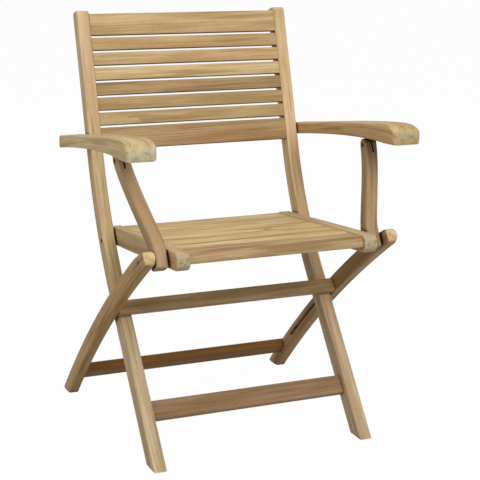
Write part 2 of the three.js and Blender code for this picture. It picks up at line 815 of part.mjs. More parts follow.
function supportPiece() {
  const axis = Math.atan2(supportVector[1], supportVector[0]);
  const length = Math.hypot(...supportVector);
  const spread = Math.acos((supportFootHalf - supportTopRadius) / length);
  const cornerAlong = -(supportFootEnd - supportFootRound);
  const cornerOut = supportFootHalf - supportFootRound;
  const shape = new THREE.Shape();
  shape.absarc(...supportVector, supportTopRadius, axis - spread, axis + spread, false);
  for (const [turn, out] of [[axis + Math.PI / 2, cornerOut], [axis + Math.PI, -cornerOut]]) {
    const y = cornerAlong * Math.cos(axis) - out * Math.sin(axis);
    const z = cornerAlong * Math.sin(axis) + out * Math.cos(axis);
    shape.absarc(y, z, supportFootRound, turn, turn + Math.PI / 2, false);
  }
  shape.closePath();
  const side = movedTo(sideSolid(shape, uprightThick + supportSplay + 2 * overrun), [0, 0], -overrun);
  const bore = rod(-overrun, uprightThick + overrun, boltRadius + clearance);
  const holeHalf = uprightThick / 2 + overrun;
  const pinHole = rod(armPinX - holeHalf, armPinX + holeHalf, armPinRadius + clearance);
  const kerfHalf = tongueThick / 2 + kerfPlay;
  const kerf = block(
    armPinX - kerfHalf,
    armPinX + kerfHalf,
    supportVector[0] - supportFootHalf - overrun,
    supportVector[0] + supportFootHalf + overrun,
    supportVector[1] - kerfBelow,
    supportVector[1] + supportTopRadius + overrun,
  );
  return cutAway(common(side, splaySolid()), [bore, movedTo(pinHole, supportVector), kerf]);
}

// The support's outline from the front, made thick along Y.
function splaySolid() {
  const outer = splayCurve.getPoints(splaySteps).map((point) => [point.x, point.y]);
  const inner = outer.map(([x, z]) => [x - uprightThick, z]).reverse();
  const under = -supportFootHalf - supportFootEnd;
  const shape = roundedShape([[0, under], [uprightThick, under], ...outer, ...inner]);
  const front = -supportFootHalf - supportFootEnd;
  const back = supportVector[0] + supportTopRadius + overrun;
  const solid = new THREE.ExtrudeGeometry(shape, { depth: back - front, bevelEnabled: false });
  return solid.rotateX(Math.PI / 2).translate(0, back, 0);
}

function buildArm(parent, side, sign) {
  const hand = (geometry) => (sign > 0 ? geometry : mirrored(geometry));
  const support = new THREE.Group();
  support.position.set(sign * uprightInner, ...frontPivot);
  parent.add(support);
  piece(support, "arm_support_" + side, hand(supportPiece()), "arm");
  const pin = rod(armPinX - armPinLong / 2, armPinX + armPinLong / 2, armPinRadius);
  piece(support, "arm_pin_" + side, hand(pin), "steel", supportVector);
  const arm = new THREE.Group();
  arm.position.set(sign * armInner, ...armPivot);
  parent.add(arm);
  piece(arm, "armrest_" + side, hand(armrestPiece()), "arm");
  const bracket = new THREE.Group();
  bracket.position.set(sign * tongueX, underPlace.x, underPlace.y);
  bracket.rotation.x = -underSlope;
  arm.add(bracket);
  piece(bracket, "arm_bracket_" + side, hand(bracketPiece()), "steel");
  [1, -1].forEach((end, i) => {
    const spot = [(end * screwSpacing) / 2, 0];
    piece(bracket, "bracket_screw_" + (i + 1) + "_" + side, screwPiece(), "steel", spot);
  });
}

const chair = new THREE.Group();
buildBackFrame(chair);
buildRearLegFrame(chair);
buildSeat(chair);
buildArm(chair, "left", 1);
buildArm(chair, "right", -1);

// The origin goes under the middle of the open chair.
const bounds = new THREE.Box3().setFromObject(chair, true);
chair.position.y = -(bounds.min.y + bounds.max.y) / 2;

const model = new THREE.Group();
model.add(chair);

export default model;
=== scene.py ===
import bpy
import bmesh
import math
import numpy as np
from mathutils import Matrix, Vector


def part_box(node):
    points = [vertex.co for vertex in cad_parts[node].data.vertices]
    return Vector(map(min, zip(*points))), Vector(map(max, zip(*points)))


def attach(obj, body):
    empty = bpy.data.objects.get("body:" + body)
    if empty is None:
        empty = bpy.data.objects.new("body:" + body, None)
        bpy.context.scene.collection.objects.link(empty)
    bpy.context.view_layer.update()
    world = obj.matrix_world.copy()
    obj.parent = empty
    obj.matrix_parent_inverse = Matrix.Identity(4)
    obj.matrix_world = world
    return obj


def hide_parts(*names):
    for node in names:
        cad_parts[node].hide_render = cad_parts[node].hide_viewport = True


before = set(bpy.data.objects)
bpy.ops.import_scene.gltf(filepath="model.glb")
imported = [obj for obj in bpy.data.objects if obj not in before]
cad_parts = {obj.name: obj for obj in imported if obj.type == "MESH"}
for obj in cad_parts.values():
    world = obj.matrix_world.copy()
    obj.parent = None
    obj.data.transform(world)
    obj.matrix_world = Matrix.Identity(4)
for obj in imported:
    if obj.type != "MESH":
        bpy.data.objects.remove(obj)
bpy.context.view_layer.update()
print("frame loaded:", len(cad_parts), "nodes")

mm = 0.001

# Where things are across the chair, and the lines that the wooden members follow, in mm and degrees.
# frontFeet is where the front feet start along Y, and the pivots are (Y, Z).
layout = {
    "frontFeet": -252.93,
    "railInner": 191,
    "uprightInner": 222,
    "uprightOuter": 250,
    "legInner": 254.5,
    "armInner": 252,
    "boardGap": 0.3,      # between a board's end and the member that takes its tenon
    "legLean": 38.96,
    "backLean": 17.8,
    "rearLegLean": -43.91,
    "seatSlope": 5.72,
    "frontPivot": (-238.17, 440.11),
    "rearPivot": (80.83, 404.14),
    "armPivot": (177.29, 601.85),
    "armPin": (-135.10, 622.01),
    "crossing": (-12.46, 269.44),
}
smoothAngle = 32
facing = 0.9         # a face or an edge points some way when this much of it does
outermost = 0.49     # an edge this share of a board's size from its middle lies on the outside
overrun = 5          # how far a cutter reaches past a face
holeSides = 28
pastFloor = 45       # how much longer a leg is made, before its foot is cut level
footEase = 1.2
tipTurn = 0.88       # a rounded end stops after this share of its quarter turn
tipCrowding = 1.6    # how much closer together its stations lie towards the tip


def deg(value):
    return math.radians(value)


# Working helpers: picking, editing and finishing a mesh.

def clearPick():
    if bpy.context.object and bpy.context.object.mode != "OBJECT":
        bpy.ops.object.mode_set(mode="OBJECT")
    bpy.ops.object.select_all(action="DESELECT")


def pickPiece(piece):
    clearPick()
    piece.select_set(True)
    bpy.context.view_layer.objects.active = piece


def editPiece(piece):
    pickPiece(piece)
    bpy.ops.object.mode_set(mode="EDIT")
    bpy.ops.mesh.select_all(action="SELECT")


def pickFaces(piece, test):
    bpy.ops.mesh.select_mode(type="FACE")
    bpy.ops.mesh.select_all(action="DESELECT")
    mesh = bmesh.from_edit_mesh(piece.data)
    for face in mesh.faces:
        face.select = bool(test(face.calc_center_median(), face.normal))
    mesh.select_flush_mode()
    bmesh.update_edit_mesh(piece.data)


def pickEdges(piece, test):
    bpy.ops.mesh.select_mode(type="EDGE")
    bpy.ops.mesh.select_all(action="DESELECT")
    mesh = bmesh.from_edit_mesh(piece.data)
    for edge in mesh.edges:
        a, b = edge.verts[0].co, edge.verts[1].co
        edge.select = bool(test((a + b) / 2, (b - a).normalized()))
    bmesh.update_edit_mesh(piece.data)


def applyPlace(piece):
    pickPiece(piece)
    bpy.ops.object.transform_apply(location=True, rotation=True, scale=True)


def useModifier(piece, kind, **settings):
    pickPiece(piece)
    bpy.ops.object.modifier_add(type=kind)
    modifier = piece.modifiers[-1]
    for key, value in settings.items():
        setattr(modifier, key, value)
    bpy.ops.object.modifier_apply(modifier=modifier.name)


def carve(piece, cutters):
    for cutter in cutters:
        useModifier(piece, "BOOLEAN", operation="DIFFERENCE", solver="EXACT", object=cutter)
        bpy.data.objects.remove(cutter)


def copyPiece(piece, name, mirror=False):
    other = piece.copy()
    other.data = piece.data.copy()
    other.name = name
    bpy.context.scene.collection.objects.link(other)
    if mirror:
        editPiece(other)
        bpy.ops.transform.resize(value=(-1, 1, 1), center_override=(0, 0, 0))
        bpy.ops.mesh.normals_make_consistent(inside=False)
        clearPick()
    return other


# Leans what is picked back by an angle. With no window the operator turns the other way round.
def turnRing(lean, place):
    if lean:
        bpy.ops.transform.rotate(value=lean, orient_axis="X", orient_type="GLOBAL", center_override=place)


# A bar is a rounded section that is extruded from place to place. A station is its place, lean, width and
# depth, in metres, and corner is in mm.
def makeBar(name, corner, stations, cornerSteps=3):
    clearPick()
    bpy.ops.mesh.primitive_plane_add(size=1, location=(0, 0, 0))
    bar = bpy.context.object
    bar.name = name
    bpy.ops.object.mode_set(mode="EDIT")
    place, lean, wide, deep = stations[0]
    bpy.ops.transform.resize(value=(wide, deep, 1), center_override=(0, 0, 0))
    bpy.ops.mesh.bevel(offset=corner * mm, offset_type="OFFSET", segments=cornerSteps, affect="VERTICES",
                       clamp_overlap=True)
    turnRing(lean, (0, 0, 0))
    bpy.ops.transform.translate(value=place)
    before = (Vector(place), lean, wide, deep)
    for place, lean, wide, deep in stations[1:]:
        place = Vector(place)
        bpy.ops.mesh.extrude_region_move(TRANSFORM_OT_translate={"value": place - before[0]})
        turnRing(-before[1], place)
        if (wide, deep) != before[2:]:
            ratio = (wide / before[2], deep / before[3], 1)
            bpy.ops.transform.resize(value=ratio, center_override=place)
        turnRing(lean, place)
        before = (place, lean, wide, deep)
    bpy.ops.mesh.select_all(action="SELECT")
    bpy.ops.mesh.normals_make_consistent(inside=False)
    bpy.ops.object.mode_set(mode="OBJECT")
    return bar


# A cutter for a round hole along X, at a place (Y, Z). All in mm.
def makeDrill(place, radius, x0, x1):
    clearPick()
    bpy.ops.mesh.primitive_cylinder_add(
        vertices=holeSides, radius=radius * mm, depth=abs(x1 - x0) * mm,
        location=Vector(((x0 + x1) / 2, *place)) * mm, rotation=(0, deg(90), 0),
    )
    drill = bpy.context.object
    applyPlace(drill)
    return drill


def makeBox(place, size, lean=0):
    clearPick()
    bpy.ops.mesh.primitive_cube_add(size=1, location=Vector(place) * mm, rotation=(-lean, 0, 0),
                                    scale=Vector(size) * mm)
    box = bpy.context.object
    applyPlace(box)
    return box


# Every wooden piece carries its own grain: how far along the piece, and how far from its middle line.
def layGrain(piece, path, side):
    mesh = piece.data
    count = len(mesh.vertices)
    places = np.zeros(count * 3)
    mesh.vertices.foreach_get("co", places)
    places = places.reshape(-1, 3)
    path = [np.array(p, float) for p in path]
    best = np.full(count, np.inf)
    grain = np.zeros((count, 3))
    tangents = np.zeros((count, 3))
    start = 0
    for i, (a, b) in enumerate(zip(path, path[1:])):
        step = b - a
        length = np.linalg.norm(step)
        tangent = step / length
        share = (places - a) @ tangent / length
        if i > 0:
            share = np.maximum(share, 0)
        if i < len(path) - 2:
            share = np.minimum(share, 1)
        off = places - (a + share[:, None] * step)
        gap = np.linalg.norm(off, axis=1)
        across = np.array(side, float) - np.dot(side, tangent) * tangent
        across /= np.linalg.norm(across)
        up = np.cross(tangent, across)
        nearer = gap < best
        best[nearer] = gap[nearer]
        values = np.stack([off @ across, off @ up, start + share * length], 1)
        grain[nearer] = values[nearer]
        tangents[nearer] = tangent
        start += length
    mesh.attributes.new("grain", "FLOAT_VECTOR", "POINT").data.foreach_set("vector", grain.ravel())
    corners = len(mesh.loops)
    owners = np.zeros(corners, int)
    mesh.loops.foreach_get("vertex_index", owners)
    normals = np.zeros(corners * 3)
    mesh.corner_normals.foreach_get("vector", normals)
    normals = normals.reshape(-1, 3)
    endOn = np.abs((normals * tangents[owners]).sum(1))
    # endGrain marks sawn ends. The other is how much a face looks down, the mask for the painted underside
    # shade.
    for name, values in (("endGrain", endOn), ("underShade", -normals[:, 2])):
        mesh.attributes.new(name, "FLOAT", "CORNER").data.foreach_set("value", values)


def finishPiece(piece, body, node, material, path, side):
    pickPiece(piece)
    bpy.ops.object.shade_smooth_by_angle(angle=deg(smoothAngle))
    useModifier(piece, "WEIGHTED_NORMAL", mode="FACE_AREA", weight=80, keep_sharp=True)
    layGrain(piece, path, side)
    piece.data.materials.clear()
    piece.data.materials.append(material)
    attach(piece, body)
    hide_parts(node)


# Materials. Colours are written as they look, from 0 to 255.

def paint(red, green, blue):
    def toLinear(value):
        value = value / 255
        return value / 12.92 if value <= 0.04045 else ((value + 0.055) / 1.055) ** 2.4
    return (toLinear(red), toLinear(green), toLinear(blue), 1)


def feed(tree, socket, value):
    if isinstance(value, bpy.types.NodeSocket):
        tree.links.new(value, socket)
    else:
        socket.default_value = value


def addNode(tree, kind, inputs=None, **settings):
    node = tree.nodes.new("ShaderNode" + kind)
    for key, value in settings.items():
        setattr(node, key, value)
    for key, value in (inputs or {}).items():
        feed(tree, node.inputs[key], value)
    return node


def mixColour(tree, share, first, second, how="MIX"):
    inputs = {0: share, 6: first, 7: second}
    return addNode(tree, "Mix", inputs, data_type="RGBA", blend_type=how).outputs[2]


def addMaths(tree, what, first, second):
    return addNode(tree, "Math", {0: first, 1: second}, operation=what).outputs[0]


def addRange(tree, value, low, high, toLow=0.0, toHigh=1.0):
    inputs = {"Value": value, "From Min": low, "From Max": high, "To Min": toLow, "To Max": toHigh}
    return addNode(tree, "MapRange", inputs, interpolation_type="SMOOTHSTEP").outputs["Result"]


def startMaterial(name):
    material = bpy.data.materials.new(name)
    material.use_nodes = True
    tree = material.node_tree
    return material, tree, tree.nodes["Principled BSDF"]


# Colours here are shares of the board's own colour, in red, green and blue.
teakLook = {
    "pale": (1.08, 1.10, 1.13),
    "deep": (0.94, 0.93, 0.88),
    "warm": (1.00, 0.90, 0.88),
    "olive": (0.93, 0.96, 0.84),
    "line": (0.82, 0.77, 0.69),
    "streak": (0.79, 0.73, 0.64),
    "pore": (0.66, 0.58, 0.48),
    "end": (0.94, 1.03, 1.12),
    "endPatch": (0.82, 0.86, 0.83),
    # The next colour is a painted shade for faces that look down.
    "underShade": (0.48, 0.32, 0.17),
    # The next colour is a painted highlight along rounded edges, and it stands also for wear.
    "edgeWearAndHighlight": (1.09, 1.10, 1.12),
    "aged": (0.83, 0.85, 0.94),
    "band": (0.76, 0.69, 0.58),
    "knot": (0.56, 0.46, 0.36),
    # The next colour is a painted shade for crevices, gaps and joints.
    "creviceShade": (0.30, 0.17, 0.07),
    "ringWidth": 5.2,     # mm from one growth line to the next
    "waveLong": 0.314,    # one wave of the texture, at a scale of 1
    "ringStretch": 0.02,  # what is left of the growth lines' change along the board
    "drift": 0.014,       # how far the growth lines wander, in metres
    "lineStrength": 0.60,
    "lineFaint": 0.15,    # what is left of that where the lines hardly show
    "streakStrength": 0.72,
    "fibreStrength": 0.36,
    "poreStrength": 0.45,
    "endStrength": 0.85,
    "endBlotch": {"Scale": 95, "Detail": 4, "Roughness": 0.6},
    "agedUneven": 0.3,
    "roughness": 0.60,
    "roughnessSpan": (-0.07, 0.1),
    "specular": 0.14,
    "bump": 0.22,
    "bumpDeep": 0.6,      # mm
    "poreDeep": 0.7,      # shares of the fibres' height
    "lineDeep": 0.2,
    # Painted shade in crevices and under downward faces, and painted highlight along edges:
    "creviceShadeReach": 10,     # mm over which the painted shade of a crevice spreads
    "creviceShadeStrength": 0.88,
    "underShadeStrength": 0.85,
    "underShadeFade": 0.14,
    "edgeWearAndHighlightReach": 2.6,     # mm from an edge that is painted pale, as highlight and as wear
    "edgeWearAndHighlightStrength": 0.32,
    "knotAcross": 6,      # mm, and so is knotAlong
    "knotAlong": 11,
    "knotUneven": 0.5,
    "knotHaloStrength": 0.7,
    "knotStrength": 0.9,
}
# Each board lies somewhere else in the log, a little out of line with its heart. Degrees and metres.
logPlace = {
    "askew": (1.2, -0.7), "aside": (0.06, 0), "sway": (0.05, 0.04), "turns": (2.7, 1.9), "apart": 0.37,
}
# Layers of noise in the grain: how much they shrink along the board, their scale, detail, roughness and
# starting place.
grainNoise = {
    "drift": (0.12, 22, 3, 0.5, (0, 0, 0)),
    "where": (0.10, 30, 2, 0.5, (0.7, 0.1, 0.4)),
    "fibre": (0.018, 850, 3, 0.6, (0, 0, 0)),
    "broad": (0.10, 42, 3, 0.55, (0, 0, 0)),
    "patch": (0.17, 26, 3, 0.55, (0.3, 0.2, 1.7)),
    "streak": (0.022, 150, 2, 0.5, (0.5, 0.9, 0.2)),
    "band": (0.06, 62, 2, 0.5, (0.2, 0.6, 2.3)),
    "pore": (0.045, 1500, 1, 0.4, (0, 0, 0)),
}
# The values between which each layer fades in.
fades = {
    "line": (0.35, 1.0), "where": (0.40, 0.62), "streak": (0.56, 0.70), "band": (0.50, 0.66),
    "pore": (0.62, 0.72), "deep": (0.36, 0.64), "warm": (0.50, 0.68), "olive": (0.50, 0.32),
    "fibre": (0.35, 0.75), "knotEdge": (3.0, 0.8), "knot": (1.4, 0.6), "endPatch": (0.48, 0.64),
    # Of these, the fade for pale edges lays a painted highlight that stands also for wear, and the fade for
    # crevices a painted shade.
    "end": (0.25, 0.80), "aged": (0.66, 0.36), "edgeWearAndHighlight": (0.96, 0.60), "creviceShade": (0.80, 0.32),
    "roughness": (0.3, 0.8),
}


def shadeOf(colour, share):
    return paint(*(min(value * part, 255) for value, part in zip(colour, share)))


# warmth and olive are how much of those tints a board has, bands how much its broad streaks show, ends how
# pale its sawn ends are, aged how grey its foot is, the crevice shade strength how dark the painted shade in
# its crevices is and reach how far that spreads. below is how far down a face looks before it gets the
# painted underside shade. seed is the part of the log that the board came from.
def makeTeak(name, seed, colour, warmth=0.3, olive=0.3, bands=0.3, ends=1.0, aged=0.0, creviceShade=1.0, reach=1.0,
             below=0.80, knot=None):
    look = teakLook
    material, tree, shader = startMaterial(name)
    grain = addNode(tree, "Attribute", attribute_name="grain").outputs["Vector"]
    endOn = addNode(tree, "Attribute", attribute_name="endGrain").outputs["Fac"]
    under = addNode(tree, "Attribute", attribute_name="underShade").outputs["Fac"]
    turns = (math.sin(seed * logPlace["turns"][0]), math.cos(seed * logPlace["turns"][1]))
    aside = [start + sway * turn for start, sway, turn in zip(logPlace["aside"], logPlace["sway"], turns)]
    placed = addNode(tree, "Mapping", {
        "Vector": grain, "Rotation": (*(deg(askew) for askew in logPlace["askew"]), 0),
        "Location": (*aside, logPlace["apart"] * seed),
    }).outputs["Vector"]

    def noise(layer, output="Fac"):
        along, scale, detail, rough, start = grainNoise[layer]
        moved = addNode(tree, "Mapping", {"Vector": placed, "Location": start, "Scale": (1, 1, along)})
        return addNode(tree, "TexNoise", {
            "Vector": moved.outputs["Vector"], "Scale": scale, "Detail": detail, "Roughness": rough,
        }).outputs[output]

    def fade(layer, value, toLow=0.0, toHigh=1.0):
        return addRange(tree, value, *fades[layer], toLow, toHigh)

    def times(value, share):
        return addMaths(tree, "MULTIPLY", value, share)

    def tint(tone, share, shade):
        return mixColour(tree, share, tone, shadeOf(colour, look[shade]))

    def occlusion(distance, **settings):
        node = addNode(tree, "AmbientOcclusion", {"Distance": distance * mm}, samples=8, **settings)
        return node.outputs["AO"]

    # A slow drift bends the growth lines, and some stretches of a board show them while others hardly do.
    bent = addNode(tree, "VectorMath", {0: noise("drift", "Color"), 1: (0.5, 0.5, 0.5)},
                   operation="SUBTRACT").outputs[0]
    bent = addNode(tree, "VectorMath", {0: bent, "Scale": look["drift"]}, operation="SCALE").outputs[0]
    ringPlace = addNode(tree, "VectorMath", {0: placed, 1: bent}, operation="ADD").outputs[0]
    ringPlace = addNode(tree, "Mapping", {"Vector": ringPlace, "Scale": (1, 1, look["ringStretch"])})
    rings = addNode(tree, "TexWave", {
        "Vector": ringPlace.outputs["Vector"], "Scale": look["waveLong"] / (look["ringWidth"] * mm),
        "Distortion": 0.9, "Detail": 2, "Detail Scale": 0.6, "Detail Roughness": 0.5,
    }, wave_type="RINGS", rings_direction="Z", wave_profile="SAW").outputs["Fac"]
    ringLine = times(fade("line", rings), fade("where", noise("where"), look["lineFaint"]))
    fibres, broad, patch = noise("fibre"), noise("broad"), noise("patch")
    poreDark = fade("pore", noise("pore"))
    # Colour, from the broad zones down to the pores.
    tone = tint(shadeOf(colour, look["pale"]), fade("deep", broad), "deep")
    tone = tint(tone, fade("warm", patch, 0, warmth), "warm")
    tone = tint(tone, fade("olive", patch, 0, olive), "olive")
    tone = tint(tone, fade("band", noise("band"), 0, bands), "band")
    tone = tint(tone, fade("fibre", fibres, 0, look["fibreStrength"]), "deep")
    tone = tint(tone, times(ringLine, look["lineStrength"]), "line")
    tone = tint(tone, times(fade("streak", noise("streak")), look["streakStrength"]), "streak")
    tone = tint(tone, times(poreDark, look["poreStrength"]), "pore")
    if knot:
        # A small knot: how far along the board it lies, and how far from its middle line.
        along, across = knot
        near = addNode(tree, "Mapping", {
            "Vector": grain, "Location": (0, -across / look["knotAcross"], -along / look["knotAlong"]),
            "Scale": (0, 1 / (look["knotAcross"] * mm), 1 / (look["knotAlong"] * mm)),
        }).outputs["Vector"]
        far = addNode(tree, "VectorMath", {0: near}, operation="LENGTH").outputs["Value"]
        uneven = addMaths(tree, "ADD", far, times(broad, look["knotUneven"]))
        tone = tint(tone, fade("knotEdge", uneven, 0, look["knotHaloStrength"]), "streak")
        tone = tint(tone, fade("knot", uneven, 0, look["knotStrength"]), "knot")
    # Sawn ends are paler and blotched.
    blotch = addNode(tree, "TexNoise", {"Vector": grain, **look["endBlotch"]}).outputs["Fac"]
    sawn = mixColour(tree, fade("endPatch", blotch),
                     shadeOf(colour, [part * ends for part in look["end"]]),
                     shadeOf(colour, [part * ends for part in look["endPatch"]]))
    tone = mixColour(tree, fade("end", endOn, 0, look["endStrength"]), tone, sawn)
    if aged:
        along = addNode(tree, "SeparateXYZ", {0: grain}).outputs["Z"]
        unevenly = addMaths(tree, "ADD", along, times(broad, look["agedUneven"]))
        greyed = mixColour(tree, 1.0, tone, look["aged"] + (1,), "MULTIPLY")
        tone = mixColour(tree, fade("aged", unevenly, 0, aged), tone, greyed)
    # Painted highlight and wear: rounded edges are paler. Painted shade: faces that look down are darker.
    thick = occlusion(look["edgeWearAndHighlightReach"], inside=True, only_local=True)
    edgeWearAndHighlight = mixColour(tree, 1.0, tone, look["edgeWearAndHighlight"] + (1,), "MULTIPLY")
    tone = mixColour(tree, fade("edgeWearAndHighlight", thick, 0, look["edgeWearAndHighlightStrength"]), tone, edgeWearAndHighlight)
    underShadeShare = addRange(tree, under, below, below + look["underShadeFade"], 0, look["underShadeStrength"])
    tone = tint(tone, underShadeShare, "underShade")
    # Painted shade: joints, gaps and holes are darker where other surfaces lie near.
    clearness = occlusion(look["creviceShadeReach"] * reach)
    tone = tint(tone, fade("creviceShade", clearness, 0, look["creviceShadeStrength"] * creviceShade), "creviceShade")
    feed(tree, shader.inputs["Base Color"], tone)
    rough = fade("roughness", fibres, *(look["roughness"] + part for part in look["roughnessSpan"]))
    feed(tree, shader.inputs["Roughness"], rough)
    shader.inputs["Specular IOR Level"].default_value = look["specular"]
    height = addMaths(tree, "SUBTRACT", fibres, times(poreDark, look["poreDeep"]))
    height = addMaths(tree, "SUBTRACT", height, times(ringLine, look["lineDeep"]))
    bump = addNode(tree, "Bump", {
        "Height": height, "Strength": look["bump"], "Distance": look["bumpDeep"] * mm,
    })
    feed(tree, shader.inputs["Normal"], bump.outputs["Normal"])
    return material


metalLook = {
    "spots": {"Scale": 420, "Detail": 4, "Roughness": 0.6},
    "scratches": {"Scale": 2600, "Detail": 2},
    "dull": 0.55,         # a share of the metal's own colour
    "dullFade": (0.4, 0.7),
    "roughness": 0.55,
    "roughnessSpan": (-0.08, 0.2),
    "roughnessFade": (0.3, 0.75),
    "bump": 0.25,
    "bumpDeep": 0.2,      # mm
}


def makeMetal(name, colour):
    look = metalLook
    material, tree, shader = startMaterial(name)
    place = addNode(tree, "TexCoord").outputs["Object"]
    spots = addNode(tree, "TexNoise", {"Vector": place, **look["spots"]}).outputs["Fac"]
    fine = addNode(tree, "TexNoise", {"Vector": place, **look["scratches"]}).outputs["Fac"]
    dull = paint(*(value * look["dull"] for value in colour))
    tone = mixColour(tree, addRange(tree, spots, *look["dullFade"]), paint(*colour), dull)
    feed(tree, shader.inputs["Base Color"], tone)
    shader.inputs["Metallic"].default_value = 1
    roughs = [look["roughness"] + part for part in look["roughnessSpan"]]
    rough = addRange(tree, spots, *look["roughnessFade"], *roughs)
    feed(tree, shader.inputs["Roughness"], rough)
    bump = addNode(tree, "Bump", {
        "Height": fine, "Strength": look["bump"], "Distance": look["bumpDeep"] * mm,
    })
    feed(tree, shader.inputs["Normal"], bump.outputs["Normal"])
    return material


print("materials ready")


# Boards between the members. Each kind is modelled once and copied, and each copy gets its own wood. between
# is the face that the board's ends nearly touch.

boards = {
    "tenonLong": 11,
    "tenonShares": (0.5, 0.6),
    "edge": 2.2,
    "grainReach": 300,    # how far the grain's line goes to each side, past the ends
    "wideBackSlat": {"between": "uprightInner", "thick": 13, "wide": 48.2},
    "backSlat": {"between": "uprightInner", "thick": 13, "wide": 28.1},
    "rearSeatSlat": {"between": "railInner", "thick": 15, "wide": 44.7},
    "seatSlat": {"between": "railInner", "thick": 15, "wide": 33.04},
    "frontSeatSlat": {"between": "railInner", "thick": 22, "wide": 63, "nose": 15},
    "frontStretcher": {"between": "uprightInner", "thick": 18, "wide": 41},
    "crossingRail": {"between": "legInner", "thick": 20, "wide": 28.5},
    "rearStretcher": {"between": "legInner", "thick": 20, "wide": 38},
}


# Makes a board at the origin, leaning back by an angle, with a tenon at each end.
def makeBoard(kind, lean):
    spec = boards[kind]
    half = (layout[spec["between"]] - layout["boardGap"]) * mm
    thick, wide, nose = spec["thick"] * mm, spec["wide"] * mm, spec.get("nose", 0) * mm
    clearPick()
    bpy.ops.mesh.primitive_cube_add(size=1, location=(0, 0, 0))
    board = bpy.context.object
    board.name = kind
    editPiece(board)
    bpy.ops.transform.resize(value=(2 * half, thick, wide), center_override=(0, 0, 0))
    if nose:
        pickEdges(board, lambda place, way: abs(way.x) > facing and place.y < 0 and place.z < 0)
        bpy.ops.mesh.bevel(offset=nose, segments=8, affect="EDGES")
        pickEdges(board, lambda place, way: abs(way.x) > facing
                  and (place.y > thick * outermost or place.z > wide * outermost))
    else:
        pickEdges(board, lambda place, way: abs(way.x) > facing)
    bpy.ops.mesh.bevel(offset=boards["edge"] * mm, segments=4, affect="EDGES")
    for side in (-1, 1):
        pickFaces(board, lambda place, normal: normal.x * side > facing)
        bpy.ops.mesh.extrude_region_move(TRANSFORM_OT_translate={"value": (0, 0, 0)})
        bpy.ops.transform.resize(value=(1, *boards["tenonShares"]))
        reach = side * boards["tenonLong"] * mm
        bpy.ops.mesh.extrude_region_move(TRANSFORM_OT_translate={"value": (reach, 0, 0)})
    clearPick()
    board.rotation_euler = (-deg(lean), 0, 0)
    applyPlace(board)
    return board


# Moves a board to the middle of its node's box.
def placeBoard(board, node):
    low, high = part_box(node)
    board.location = (low + high) / 2
    applyPlace(board)
    return board


def finishBoard(board, body, node, material, lean):
    low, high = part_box(node)
    middle = (low + high) / 2
    path = [(way * boards["grainReach"] * mm, middle.y, middle.z) for way in (-1, 1)]
    side = (0, math.cos(deg(lean)), -math.sin(deg(lean)))
    finishPiece(board, body, node, material, path, side)


# Each slat's wood, from the crown down: colour, warmth and olive.
backWood = [
    ((194, 165, 121), 0.3, 0.5), ((194, 163, 119), 0.5, 0.6), ((197, 167, 124), 0.5, 0.5),
    ((202, 174, 128), 0.2, 0.6), ((172, 142, 104), 0.6, 0.3), ((178, 149, 106), 0.5, 0.4),
    ((184, 156, 112), 0.4, 0.5), ((172, 140, 100), 0.6, 0.2),
]
backBoards = []
lean = layout["backLean"]
masters = {kind: makeBoard(kind, lean) for kind in ("wideBackSlat", "backSlat")}
for i, (colour, warmth, olive) in enumerate(backWood):
    node = "back_slat_%d" % (i + 1)
    kind = "wideBackSlat" if i in (0, len(backWood) - 1) else "backSlat"
    slat = placeBoard(copyPiece(masters[kind], "backSlat%d" % (i + 1)), node)
    # The back slats' lower faces look only a little down, so they get the painted underside shade from a
    # shallower look.
    teak = makeTeak("teakBackSlat%d" % (i + 1), 1.3 + i, colour, warmth, olive, below=0.5)
    finishBoard(slat, "back_frame", node, teak, lean)
    backBoards.append(slat)
for slat in masters.values():
    bpy.data.objects.remove(slat)
print("back slats done")

# From the rear of the seat to its front: colour, warmth, olive and the strength of the painted shade in the
# gaps, which is lighter towards the front. The knot's place is counted along the grain's line.
seatWood = [
    ((207, 180, 131), 0.3, 0.5, 1.0), ((200, 172, 122), 0.4, 0.4, 1.0), ((215, 190, 140), 0.3, 0.5, 1.0),
    ((210, 183, 132), 0.2, 0.4, 0.9), ((207, 180, 128), 0.5, 0.5, 0.8), ((215, 188, 137), 0.4, 0.4, 0.6),
    ((212, 188, 135), 0.2, 0.6, 0.5), ((208, 181, 130), 0.5, 0.4, 0.4), ((216, 190, 139), 0.3, 0.5, 0.4),
    ((184, 158, 119), 0.9, 0.3, 0.4),
]
knotPlace = {"slat": 6, "along": 364, "across": 0}
seatBoards = []
lean = 90 + layout["seatSlope"]
masters = {kind: makeBoard(kind, lean) for kind in ("rearSeatSlat", "seatSlat", "frontSeatSlat")}
for i, (colour, warmth, olive, creviceShade) in enumerate(seatWood):
    node = "seat_slat_%d" % (i + 1)
    kind = "rearSeatSlat" if i == 0 else "frontSeatSlat" if i == len(seatWood) - 1 else "seatSlat"
    slat = placeBoard(copyPiece(masters[kind], "seatSlat%d" % (i + 1)), node)
    knot = (knotPlace["along"], knotPlace["across"]) if i + 1 == knotPlace["slat"] else None
    teak = makeTeak("teakSeatSlat%d" % (i + 1), 11.7 + i, colour, warmth, olive, bands=1.0, creviceShade=creviceShade,
                    knot=knot)
    finishBoard(slat, "seat", node, teak, lean)
    seatBoards.append(slat)
for slat in masters.values():
    bpy.data.objects.remove(slat)
print("seat slats done")

